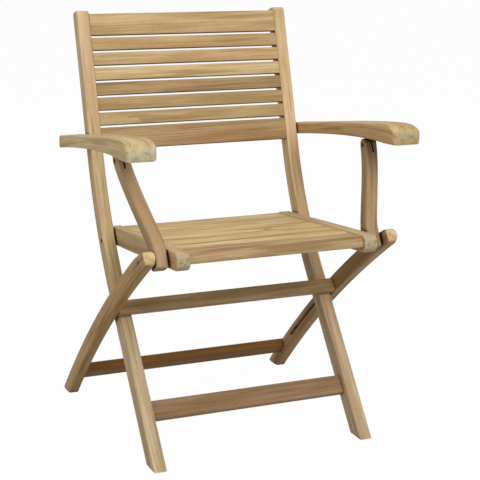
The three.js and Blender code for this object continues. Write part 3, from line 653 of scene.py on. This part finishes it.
# The boards below: their node, body, lean, colour, warmth and olive.
stretchers = {
    "frontStretcher": ("front_stretcher", "back_frame", layout["legLean"], (154, 122, 91), 0.6, 0.2),
    "crossingRail": ("crossing_rail", "rear_leg_frame", layout["legLean"], (182, 150, 110), 0.5, 0.3),
    "rearStretcher": ("rear_stretcher", "rear_leg_frame", layout["rearLegLean"], (140, 98, 53), 0.3, 0.1),
}
legBoards = []
for i, (name, (node, body, lean, colour, warmth, olive)) in enumerate(stretchers.items()):
    board = placeBoard(makeBoard(name, lean), node)
    teak = makeTeak("teak" + name[0].upper() + name[1:], 31.1 + 1.7 * i, colour, warmth, olive)
    finishBoard(board, body, node, teak, lean)
    (legBoards if body == "rear_leg_frame" else backBoards).append(board)
print("stretchers done")


# One cutter with the shapes of several boards, for the mortises that take their tenons.
def makeMortises(joinedBoards):
    copies = [copyPiece(board, "mortise") for board in joinedBoards]
    for other in copies:
        for layer in ("grain", "endGrain", "underShade"):
            other.data.attributes.remove(other.data.attributes[layer])
        other.data.materials.clear()
    clearPick()
    for other in copies:
        other.select_set(True)
    bpy.context.view_layer.objects.active = copies[0]
    bpy.ops.object.join()
    return bpy.context.object


# The holes for the bolts, nuts and pins, with their play.
bores = {
    "boltRadius": 3.8, "headRadius": 5, "headDeep": 8, "nutRadius": 5.7, "nutDeep": 10.3,
    "pinRadius": 3.5, "pinSeat": 16,
}


def makeBore(place, inner, outer):
    return makeDrill(place, bores["boltRadius"], inner - overrun, outer + overrun)


# A wider hole from one face, and way is the direction in which it goes in.
def makeSink(place, face, way, radius, deep):
    return makeDrill(place, radius, face - way * overrun, face + way * deep)


# Uprights: a straight leg, a bend and a straight back, measured on the front edge.

upright = {
    "corner": 3, "height": 884, "bendHeight": 435.7, "bendRadius": 800, "bendSteps": 14,
    "footDeep": 39, "bendDeep": 33, "topDeep": 30.5, "topRound": 9, "endRound": 2.5,
    "legPlaces": (110, 220), "backShares": (0.35, 0.7),
}


def leanLine(lean):
    return Vector((0, math.sin(lean), math.cos(lean)))


def leanSquare(lean):
    return Vector((0, math.cos(lean), -math.sin(lean)))


# How far a rounded corner has come in from the face, at a distance from the end.
def insetAt(radius, distance):
    return radius - math.sqrt(max(radius ** 2 - (radius - distance) ** 2, 0)) if distance < radius else 0


# The stations of an end that is rounded off: deepRound as seen from the side, wideRound from the front.
def roundedEnd(end, lean, wide, deep, deepRound, wideRound, way=1, steps=5):
    stations = []
    for step in range(steps + 1):
        turn = deg(90) * tipTurn * (1 - (1 - step / steps) ** tipCrowding)
        back = deepRound * (1 - math.sin(turn))
        inset = deepRound * (1 - math.cos(turn))
        sideInset = insetAt(wideRound, back)
        place = end - leanLine(lean) * back * way
        stations.append((place * mm, lean, (wide - 2 * sideInset) * mm, (deep - 2 * inset) * mm))
    return stations if way > 0 else stations[::-1]


def uprightStations():
    legLean, backLean = deg(layout["legLean"]), deg(layout["backLean"])
    bend, height = upright["bendHeight"], upright["height"]
    corner = Vector((0, bend * math.tan(legLean), bend))
    tangent = upright["bendRadius"] * math.tan((legLean - backLean) / 2)
    centre = corner - leanLine(legLean) * tangent - leanSquare(legLean) * upright["bendRadius"]
    middleX = (layout["uprightInner"] + layout["uprightOuter"]) / 2
    wide = layout["uprightOuter"] - layout["uprightInner"]

    def frontEdge(z):
        lean = legLean if z < bend else backLean
        return Vector((0, corner.y + (z - bend) * math.tan(lean), z))

    def station(edge, lean):
        low, high = (("footDeep", 0), ("bendDeep", bend)), (("bendDeep", bend), ("topDeep", height))
        (fromKey, fromZ), (toKey, toZ) = low if edge.z < bend else high
        share = (edge.z - fromZ) / (toZ - fromZ)
        deep = upright[fromKey] + (upright[toKey] - upright[fromKey]) * share
        middle = edge + leanSquare(lean) * deep / 2
        return Vector((middleX, middle.y + layout["frontFeet"], middle.z)), lean, wide, deep

    plain = [station(frontEdge(z), legLean) for z in (-pastFloor, *upright["legPlaces"])]
    for step in range(upright["bendSteps"] + 1):
        lean = legLean + (backLean - legLean) * step / upright["bendSteps"]
        plain.append(station(centre + leanSquare(lean) * upright["bendRadius"], lean))
    bendTop = plain[-1][0].z
    for share in upright["backShares"]:
        plain.append(station(frontEdge(bendTop + (height - bendTop) * share), backLean))
    top = station(frontEdge(height), backLean)
    stations = [(place * mm, lean, wide * mm, deep * mm) for place, lean, wide, deep in plain]
    return stations + roundedEnd(*top, upright["topRound"], upright["endRound"])


# A level cut, with the new edge eased.
def cutFoot(piece):
    editPiece(piece)
    bpy.ops.mesh.bisect(plane_co=(0, 0, 0), plane_no=(0, 0, 1), use_fill=True, clear_inner=True)
    pickFaces(piece, lambda place, normal: normal.z < -facing and place.z < 0.5 * mm)
    bpy.ops.mesh.region_to_loop()
    bpy.ops.mesh.bevel(offset=footEase * mm, segments=2, affect="EDGES")
    clearPick()


# Finishes a left piece and its mirrored copy. Each gets its own wood.
def finishPair(piece, name, node, bodies, woods, path, side=(1, 0, 0)):
    other = copyPiece(piece, name + "Right", mirror=True)
    piece.name = name + "Left"
    finishPiece(piece, bodies[0], node + "_left", woods[0], path, side)
    mirrored = [(-x, y, z) for x, y, z in path]
    finishPiece(other, bodies[1], node + "_right", woods[1], mirrored, side)


stations = uprightStations()
left = makeBar("uprightLeft", upright["corner"], stations)
cutFoot(left)
inner, outer = layout["uprightInner"], layout["uprightOuter"]
rearPivot, frontPivot, armPivot = layout["rearPivot"], layout["frontPivot"], layout["armPivot"]
carve(left, [
    makeMortises(backBoards),
    makeBore(rearPivot, inner, outer), makeSink(rearPivot, outer, -1, bores["headRadius"], bores["headDeep"]),
    makeBore(armPivot, inner, outer), makeSink(armPivot, inner, 1, bores["headRadius"], bores["headDeep"]),
    makeSink(layout["crossing"], outer, -1, bores["pinRadius"], bores["pinSeat"]),
])
woods = (makeTeak("teakUprightLeft", 41.3, (208, 178, 136), 0.3, 0.4, aged=1.0),
         makeTeak("teakUprightRight", 43.9, (207, 179, 138), 0.4, 0.4, aged=0.7))
finishPair(left, "upright", "upright", ("back_frame", "back_frame"), woods,
           [place for place, *rest in stations])
print("uprights done")

# Rear legs: one bow from the front pivot to the rear foot, with a groove in the inner face.

rearLeg = {
    "wide": 25, "deep": 35.5, "corner": 3, "footSpan": 522, "bow": 19.5, "steps": 15,
    "nose": 20, "noseDrop": 4.5, "noseTaper": 50, "noseRound": 15.2, "endRound": 2.5,
    "grooveWide": 8, "grooveDeep": 9, "grooveAbove": 12, "grooveBelow": 243, "grooveSteps": 12,
}
pivot = Vector((0, *frontPivot))
foot = Vector((0, rearLeg["footSpan"] + layout["frontFeet"], 0))
chord = foot - pivot
legRadius = (chord.length ** 2 / 4 + rearLeg["bow"] ** 2) / (2 * rearLeg["bow"])
chordWay = chord.normalized()
chordSquare = Vector((0, -chordWay.z, chordWay.y))
legCentre = (pivot + foot) / 2 + chordSquare * (rearLeg["bow"] - legRadius)


def onLeg(angle, x, out=0):
    radius = legRadius + out
    return Vector((x, legCentre.y + radius * math.cos(angle), legCentre.z + radius * math.sin(angle)))


def angleOnLeg(y, z):
    return math.atan2(z - legCentre.z, y - legCentre.y)


legTop = angleOnLeg(pivot.y, pivot.z) + rearLeg["nose"] / legRadius
legFoot = angleOnLeg(foot.y, foot.z) - pastFloor / legRadius
legInner, legOuter = layout["legInner"], layout["legInner"] + rearLeg["wide"]
legMiddle = (legInner + legOuter) / 2
legTaper = legTop - rearLeg["noseTaper"] / legRadius
# Along the leg, downwards, a bar's lean is the angle's negative. The upper edge drops towards the nose.
legWays = [-legTop, -(legTop + legTaper) / 2]
legWays += [-(legTaper + (legFoot - legTaper) * step / rearLeg["steps"])
            for step in range(rearLeg["steps"] + 1)]
noseDeep = rearLeg["deep"] - rearLeg["noseDrop"]
noseTip = onLeg(legTop, legMiddle, -rearLeg["noseDrop"] / 2) - leanLine(math.pi - legTop) * noseDeep / 2
stations = roundedEnd(noseTip, math.pi - legTop, rearLeg["wide"], noseDeep, rearLeg["noseRound"],
                      rearLeg["endRound"], way=-1, steps=7)
for way in legWays[1:]:
    drop = rearLeg["noseDrop"] * min(max((-way - legTaper) / (legTop - legTaper), 0), 1)
    stations.append((onLeg(-way, legMiddle, -drop / 2) * mm, way + math.pi, rearLeg["wide"] * mm,
                     (rearLeg["deep"] - drop) * mm))
left = makeBar("rearLegLeft", rearLeg["corner"], stations)
cutFoot(left)
crossAngle = angleOnLeg(*layout["crossing"])
grooveTop = crossAngle + rearLeg["grooveAbove"] / legRadius
grooveEnd = crossAngle - rearLeg["grooveBelow"] / legRadius
grooveSize = (2 * rearLeg["grooveDeep"], rearLeg["grooveWide"])


# The groove's round ends stop just short of a point.
def grooveCap(angle, way):
    half = rearLeg["grooveWide"] / 2
    end = onLeg(angle, legInner) - leanLine(-angle) * half * way
    return roundedEnd(end, math.pi - angle, *grooveSize, half - 0.2, 0, way=way, steps=4)


stations = grooveCap(grooveTop, -1)
for step in range(1, rearLeg["grooveSteps"]):
    angle = grooveTop + (grooveEnd - grooveTop) * step / rearLeg["grooveSteps"]
    stations.append((onLeg(angle, legInner) * mm, math.pi - angle, *(size * mm for size in grooveSize)))
stations += grooveCap(grooveEnd, 1)
carve(left, [
    makeBar("grooveCutter", 0.2, stations, cornerSteps=1),
    makeMortises(legBoards),
    makeBore(frontPivot, legInner, legOuter),
    makeSink(frontPivot, legOuter, -1, bores["headRadius"], bores["headDeep"]),
])
woods = (makeTeak("teakRearLegLeft", 47.7, (178, 143, 100), 0.5, 0.5, bands=0.8, ends=1.34),
         makeTeak("teakRearLegRight", 51.2, (180, 145, 98), 0.3, 0.6, bands=1.0, ends=1.34))
finishPair(left, "rearLeg", "rear_leg", ("rear_leg_frame", "rear_leg_frame"), woods,
           [onLeg(-way, legMiddle) * mm for way in legWays])
print("rear legs done")

# Seat rails, from tail to nose.

seatRail = {
    "wide": 28.5, "deep": 37.5, "corner": 3, "behind": 44.5, "ahead": 376, "under": 12.5,
    "noseRound": 15, "tailRound": 9, "endRound": 3,
}
railLean = -deg(90 - layout["seatSlope"])
railInner, railOuter = layout["railInner"], layout["railInner"] + seatRail["wide"]
railStart = Vector(((railInner + railOuter) / 2, *rearPivot))
railStart += leanSquare(railLean) * (seatRail["deep"] / 2 - seatRail["under"])
railTail = railStart - leanLine(railLean) * seatRail["behind"]
railNose = railStart + leanLine(railLean) * seatRail["ahead"]
section = (railLean, seatRail["wide"], seatRail["deep"])
stations = roundedEnd(railTail, *section, seatRail["tailRound"], seatRail["endRound"], way=-1)
stations += roundedEnd(railNose, *section, seatRail["noseRound"], seatRail["endRound"], steps=7)
left = makeBar("seatRailLeft", seatRail["corner"], stations)
cutters = [makeMortises(seatBoards)]
for place in (rearPivot, frontPivot):
    cutters += [makeBore(place, railInner, railOuter),
                makeSink(place, railInner, 1, bores["nutRadius"], bores["nutDeep"])]
carve(left, cutters)
woods = (makeTeak("teakSeatRailLeft", 55.4, (196, 168, 126), 0.4, 0.4, ends=0.97),
         makeTeak("teakSeatRailRight", 58.8, (192, 165, 124), 0.4, 0.4, ends=0.97))
finishPair(left, "seatRail", "seat_rail", ("seat", "seat"), woods,
           [railTail * mm, railNose * mm])
print("seat rails done")


# Arm supports and armrests.

# A list of points on a curve that four points steer.
def bezier(points, steps):
    a, b, c, d = [Vector(p) for p in points]
    curve = []
    for i in range(steps + 1):
        share = i / steps
        rest = 1 - share
        curve.append(a * rest ** 3 + b * 3 * rest ** 2 * share + c * 3 * rest * share ** 2 + d * share ** 3)
    return curve


# The second value at a place along a curve.
def readCurve(curve, place):
    return float(np.interp(place, [p.x for p in curve], [p.y for p in curve]))


support = {
    "wide": 28, "corner": 4, "splay": 42,
    "splayShares": ((0, 0.11), (0, 0.22), (0.96, 0.78), (1, 1.06)), "splaySteps": 60,
    "footHalf": 16, "footEnd": 18, "footRound": 4, "topRadius": 14, "steps": 14, "endRound": 3,
    "footSteps": (0.1, 0.5, 1.2, 2.4, 4, 8, 13),    # from the foot's end, closer together where it rounds off
    "topSteps": (10, 6.5, 3.5, 1.2, 0.2),           # from the top's end
    "kerfWide": 4, "kerfLong": 60, "kerfBelow": 12, "pinHole": 2.9, "holeMouth": 5, "mouthDeep": 3,
}
armPin = layout["armPin"]
rise = armPin[1] - frontPivot[1]
run = armPin[0] - frontPivot[0]
supportLean = math.atan2(run, rise)
supportLong = math.hypot(run, rise)
supportInner, supportOuter = layout["uprightInner"], layout["uprightInner"] + support["wide"]
splay = bezier([(up * rise, out * support["splay"]) for out, up in support["splayShares"]],
               support["splaySteps"])


def supportX(height):
    return (supportInner + supportOuter) / 2 + readCurve(splay, height)


def supportStation(distance):
    foot, top, footRound = support["footHalf"], support["topRadius"], support["footRound"]
    if distance < 0:
        corner = max(footRound - distance - support["footEnd"], 0)
        half = foot - footRound + math.sqrt(footRound ** 2 - corner ** 2)
    elif distance > supportLong:
        half = math.sqrt(top ** 2 - (distance - supportLong) ** 2)
    else:
        half = foot + (top - foot) * distance / supportLong
    inset = insetAt(support["endRound"], min(distance + support["footEnd"], supportLong + top - distance))
    line = leanLine(supportLean) * distance
    place = Vector((supportX(line.z), frontPivot[0] + line.y, frontPivot[1] + line.z))
    return place * mm, supportLean, (support["wide"] - 2 * inset) * mm, 2 * half * mm


distances = [step - support["footEnd"] for step in support["footSteps"]]
distances += [supportLong * step / support["steps"] for step in range(support["steps"] + 1)]
distances += [supportLong + support["topRadius"] - step for step in support["topSteps"]]
stations = [supportStation(distance) for distance in distances]
left = makeBar("armSupportLeft", support["corner"], stations)
pinX = supportX(rise)
halfWide = support["wide"] / 2
kerfTop = support["topRadius"] + overrun
cutters = [
    makeBox((pinX, armPin[0], armPin[1] + (kerfTop - support["kerfBelow"]) / 2),
            (support["kerfWide"], support["kerfLong"], kerfTop + support["kerfBelow"])),
    makeBore(frontPivot, supportInner, supportOuter),
    makeDrill(armPin, support["pinHole"], pinX - halfWide - overrun, pinX + halfWide + overrun),
]
# The pin lies sunk in a wider mouth on each side.
for way in (-1, 1):
    cutters.append(makeSink(armPin, pinX + way * halfWide, -way, support["holeMouth"], support["mouthDeep"]))
carve(left, cutters)
# The supports' painted crevice shade spreads further, around the kerf and the pin.
woods = (makeTeak("teakSupportLeft", 61.5, (163, 135, 101), 0.5, 0.3, bands=0.6, reach=1.6),
         makeTeak("teakSupportRight", 64.1, (182, 154, 118), 0.5, 0.3, bands=0.6, reach=1.6))
finishPair(left, "armSupport", "arm_support", ("arm_support_body_left", "arm_support_body_right"),
           woods, [place for place, *rest in stations], (0, 1, 0.02))
print("arm supports done")

armrest = {
    "rearWide": 54, "noseWide": 63, "noseOut": 2.5, "corner": 4, "behind": 24, "long": 483,
    "rearDeep": 27.6, "rearBelow": 11.5, "rise": 61, "nose": 68, "noseDeep": 34,
    "topShares": ((0.2, 0.2), (0.7, 0.82), (1, 1.03)),
    "underShares": ((0.18, 0.25), (0.76, 0.9), (1.05, 0.86)),
    "noseTopShares": ((0.58, -0.13), (1, -0.02), (1, 0.7)),
    "noseCorner": (0.985, 1.02), "noseLip": 5,
    "planRound": 11, "endRound": 2,
    "curveSteps": 40, "noseCurveSteps": 20,
    "rearSteps": (0, 0.7, 2.5),     # from the rear end, and noseSteps back from the nose
    "middleSteps": (15, 400, 20),   # from, to and how far apart
    "noseSteps": (73, 61, 50, 41, 33, 26, 20, 15, 11, 7.5, 5, 3, 1.5, 0.5, 0),
    "pocketWide": 18.6, "pocketLong": 64.6, "pocketDeep": 2.8, "screwApart": 44, "screwHole": 2.2,
    "screwDeep": 17.3, "boltReach": 28.3,
}
straight = armrest["long"] - armrest["nose"]


def armCurve(start, shares):
    steered = [(ahead * straight, start + up * armrest["rise"]) for ahead, up in ((0, 0), *shares)]
    return bezier(steered, armrest["curveSteps"])


armTop = armCurve(armrest["rearDeep"] - armrest["rearBelow"], armrest["topShares"])
armUnder = armCurve(-armrest["rearBelow"], armrest["underShares"])
noseStart = armTop[-1]


def onNose(ahead, down):
    return noseStart + Vector((ahead * armrest["nose"], -down * armrest["noseDeep"]))


nosePoints = [onNose(ahead, down) for ahead, down in ((0, 0), *armrest["noseTopShares"])]
armTop += bezier(nosePoints, armrest["noseCurveSteps"])[1:]
armUnder += [onNose(*armrest["noseCorner"]), nosePoints[3] - Vector((0, armrest["noseLip"]))]


def armStation(ahead):
    high, low = readCurve(armTop, ahead), readCurve(armUnder, ahead)
    share = ahead / armrest["long"]
    wide = armrest["rearWide"] + (armrest["noseWide"] - armrest["rearWide"]) * share
    middle = layout["armInner"] + armrest["noseOut"] * share + wide / 2
    wide -= 2 * insetAt(armrest["planRound"], armrest["long"] - ahead)
    inset = insetAt(armrest["endRound"], ahead)
    place = Vector((middle, armPivot[0] + armrest["behind"] - ahead, armPivot[1] + (high + low) / 2))
    return place * mm, -deg(90), (wide - 2 * inset) * mm, (high - low - 2 * inset) * mm


aheads = [*armrest["rearSteps"], *range(*armrest["middleSteps"])]
aheads += [armrest["long"] - step for step in armrest["noseSteps"]]
stations = [armStation(ahead) for ahead in aheads]
left = makeBar("armrestLeft", armrest["corner"], stations, cornerSteps=4)
# A pocket in the underside for the bracket, with its two screw holes, and the hole for the pivot bolt.
pinAhead = armrest["behind"] + armPivot[0] - armPin[0]
nearPin = 20
rear, here, fore = [readCurve(armUnder, pinAhead + step) for step in (-nearPin, 0, nearPin)]
underSlope = math.atan2(fore - rear, 2 * nearPin)
underPlace = Vector((pinX, armPin[0], armPivot[1] + here))
pocket = (armrest["pocketWide"], armrest["pocketLong"], 2 * armrest["pocketDeep"])
cutters = [makeBox(underPlace, pocket, underSlope)]
for way in (-1, 1):
    clearPick()
    spot = underPlace - leanSquare(underSlope) * way * armrest["screwApart"] / 2
    bpy.ops.mesh.primitive_cylinder_add(
        vertices=16, radius=armrest["screwHole"] * mm, depth=2 * armrest["screwDeep"] * mm,
        location=spot * mm, rotation=(-underSlope, 0, 0),
    )
    cutters.append(bpy.context.object)
    applyPlace(cutters[-1])
cutters.append(makeSink(armPivot, layout["armInner"], 1, bores["boltRadius"], armrest["boltReach"]))
carve(left, cutters)
woods = (makeTeak("teakArmrestLeft", 67.3, (196, 166, 121), 0.5, 0.3, ends=0.91),
         makeTeak("teakArmrestRight", 70.9, (204, 179, 138), 0.2, 0.4, bands=0.5, ends=0.98))
finishPair(left, "armrest", "armrest", ("armrest_body_left", "armrest_body_right"), woods,
           [place for place, *rest in stations])
print("armrests done")


# Camera, lights, floor and backdrop.

cameraPlace = {
    "place": (-1.12258, -2.62388, 1.13688),
    "azimuth": -23.925,
    "elevation": 14.397,
    "roll": 1.009,
    "lens": 101.35,
}
cameraData = bpy.data.cameras.new("photoCamera")
cameraData.lens = cameraPlace["lens"]
cameraData.sensor_width = 36
cameraData.clip_end = 50
camera = bpy.data.objects.new("photoCamera", cameraData)
bpy.context.scene.collection.objects.link(camera)
camera.matrix_world = (
    Matrix.Translation(cameraPlace["place"])
    @ Matrix.Rotation(deg(cameraPlace["azimuth"]), 4, "Z")
    @ Matrix.Rotation(deg(90 - cameraPlace["elevation"]), 4, "X")
    @ Matrix.Rotation(deg(cameraPlace["roll"]), 4, "Z")
)
bpy.context.scene.camera = camera

lamps = {
    "keyLamp": {"place": (0.3, -2.8, 2.6), "size": 2.4, "power": 80},
    "topLamp": {"place": (0.2, 0.3, 3.2), "size": 2.4, "power": 22},
    "fillLamp": {"place": (-3.0, -0.8, 1.5), "size": 2.0, "power": 23},
}
lampAim = Vector((0, 0, 0.45))
for name, lamp in lamps.items():
    data = bpy.data.lights.new(name, "AREA")
    data.shape = "SQUARE"
    data.size = lamp["size"]
    data.energy = lamp["power"]
    light = bpy.data.objects.new(name, data)
    light.location = lamp["place"]
    light.rotation_mode = "QUATERNION"
    light.rotation_quaternion = (Vector(lamp["place"]) - lampAim).to_track_quat("Z", "Y")
    bpy.context.scene.collection.objects.link(light)

# The camera sees a white backdrop and a faint shadow. Other rays see a grey floor, which throws less light
# back.
backdrop = {
    "worldLevel": 0.32, "floorSeen": 1.0, "floorLit": 0.50, "floorShare": 0.97,
    "floorSize": 40,      # metres
    "floorDrop": 0.4,     # mm under the feet
    "floorRoughness": 0.9, "floorSpecular": 0.1,
}


def raysOf(tree, *kinds):
    rays = addNode(tree, "LightPath")
    share = rays.outputs[kinds[0]]
    for kind in kinds[1:]:
        share = addMaths(tree, "MAXIMUM", share, rays.outputs[kind])
    return share


world = bpy.data.worlds.new("studioWorld")
bpy.context.scene.world = world
world.use_nodes = True
tree = world.node_tree
tree.nodes.clear()
seen = raysOf(tree, "Is Camera Ray", "Is Glossy Ray", "Is Transmission Ray")
level = addRange(tree, seen, 0, 1, backdrop["worldLevel"], 1.0)
background = addNode(tree, "Background", {"Color": (1, 1, 1, 1), "Strength": level})
addNode(tree, "OutputWorld", {"Surface": background.outputs[0]})

clearPick()
floorPlace = (0, 0, -backdrop["floorDrop"] * mm)
bpy.ops.mesh.primitive_plane_add(size=backdrop["floorSize"], location=floorPlace)
floor = bpy.context.object
floor.name = "studioFloor"
applyPlace(floor)
floorPaint, tree, shader = startMaterial("studioFloorPaint")
shader.inputs["Roughness"].default_value = backdrop["floorRoughness"]
shader.inputs["Specular IOR Level"].default_value = backdrop["floorSpecular"]
seen = raysOf(tree, "Is Camera Ray", "Is Glossy Ray")
greys = [(backdrop[key],) * 3 + (1,) for key in ("floorLit", "floorSeen")]
feed(tree, shader.inputs["Base Color"], mixColour(tree, seen, *greys))
glow = addNode(tree, "Emission", {"Color": (1, 1, 1, 1), "Strength": 1.0})
share = addMaths(tree, "MULTIPLY", seen, backdrop["floorShare"])
mixed = addNode(tree, "MixShader", {0: share, 1: shader.outputs[0], 2: glow.outputs[0]})
feed(tree, tree.nodes["Material Output"].inputs["Surface"], mixed.outputs[0])
floor.data.materials.append(floorPaint)

bpy.context.scene.view_settings.view_transform = "Standard"
print("camera, lamps and floor ready")

brass = makeMetal("dullBrass", (46, 36, 26))
steel = makeMetal("dullSteel", (62, 46, 32))
metalWords = ("bolt", "nut", "washer", "pin", "bracket", "screw")
for node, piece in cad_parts.items():
    if not piece.hide_render and any(word in node for word in metalWords):
        piece.data.materials.clear()
        piece.data.materials.append(brass if "bolt" in node or "nut" in node else steel)
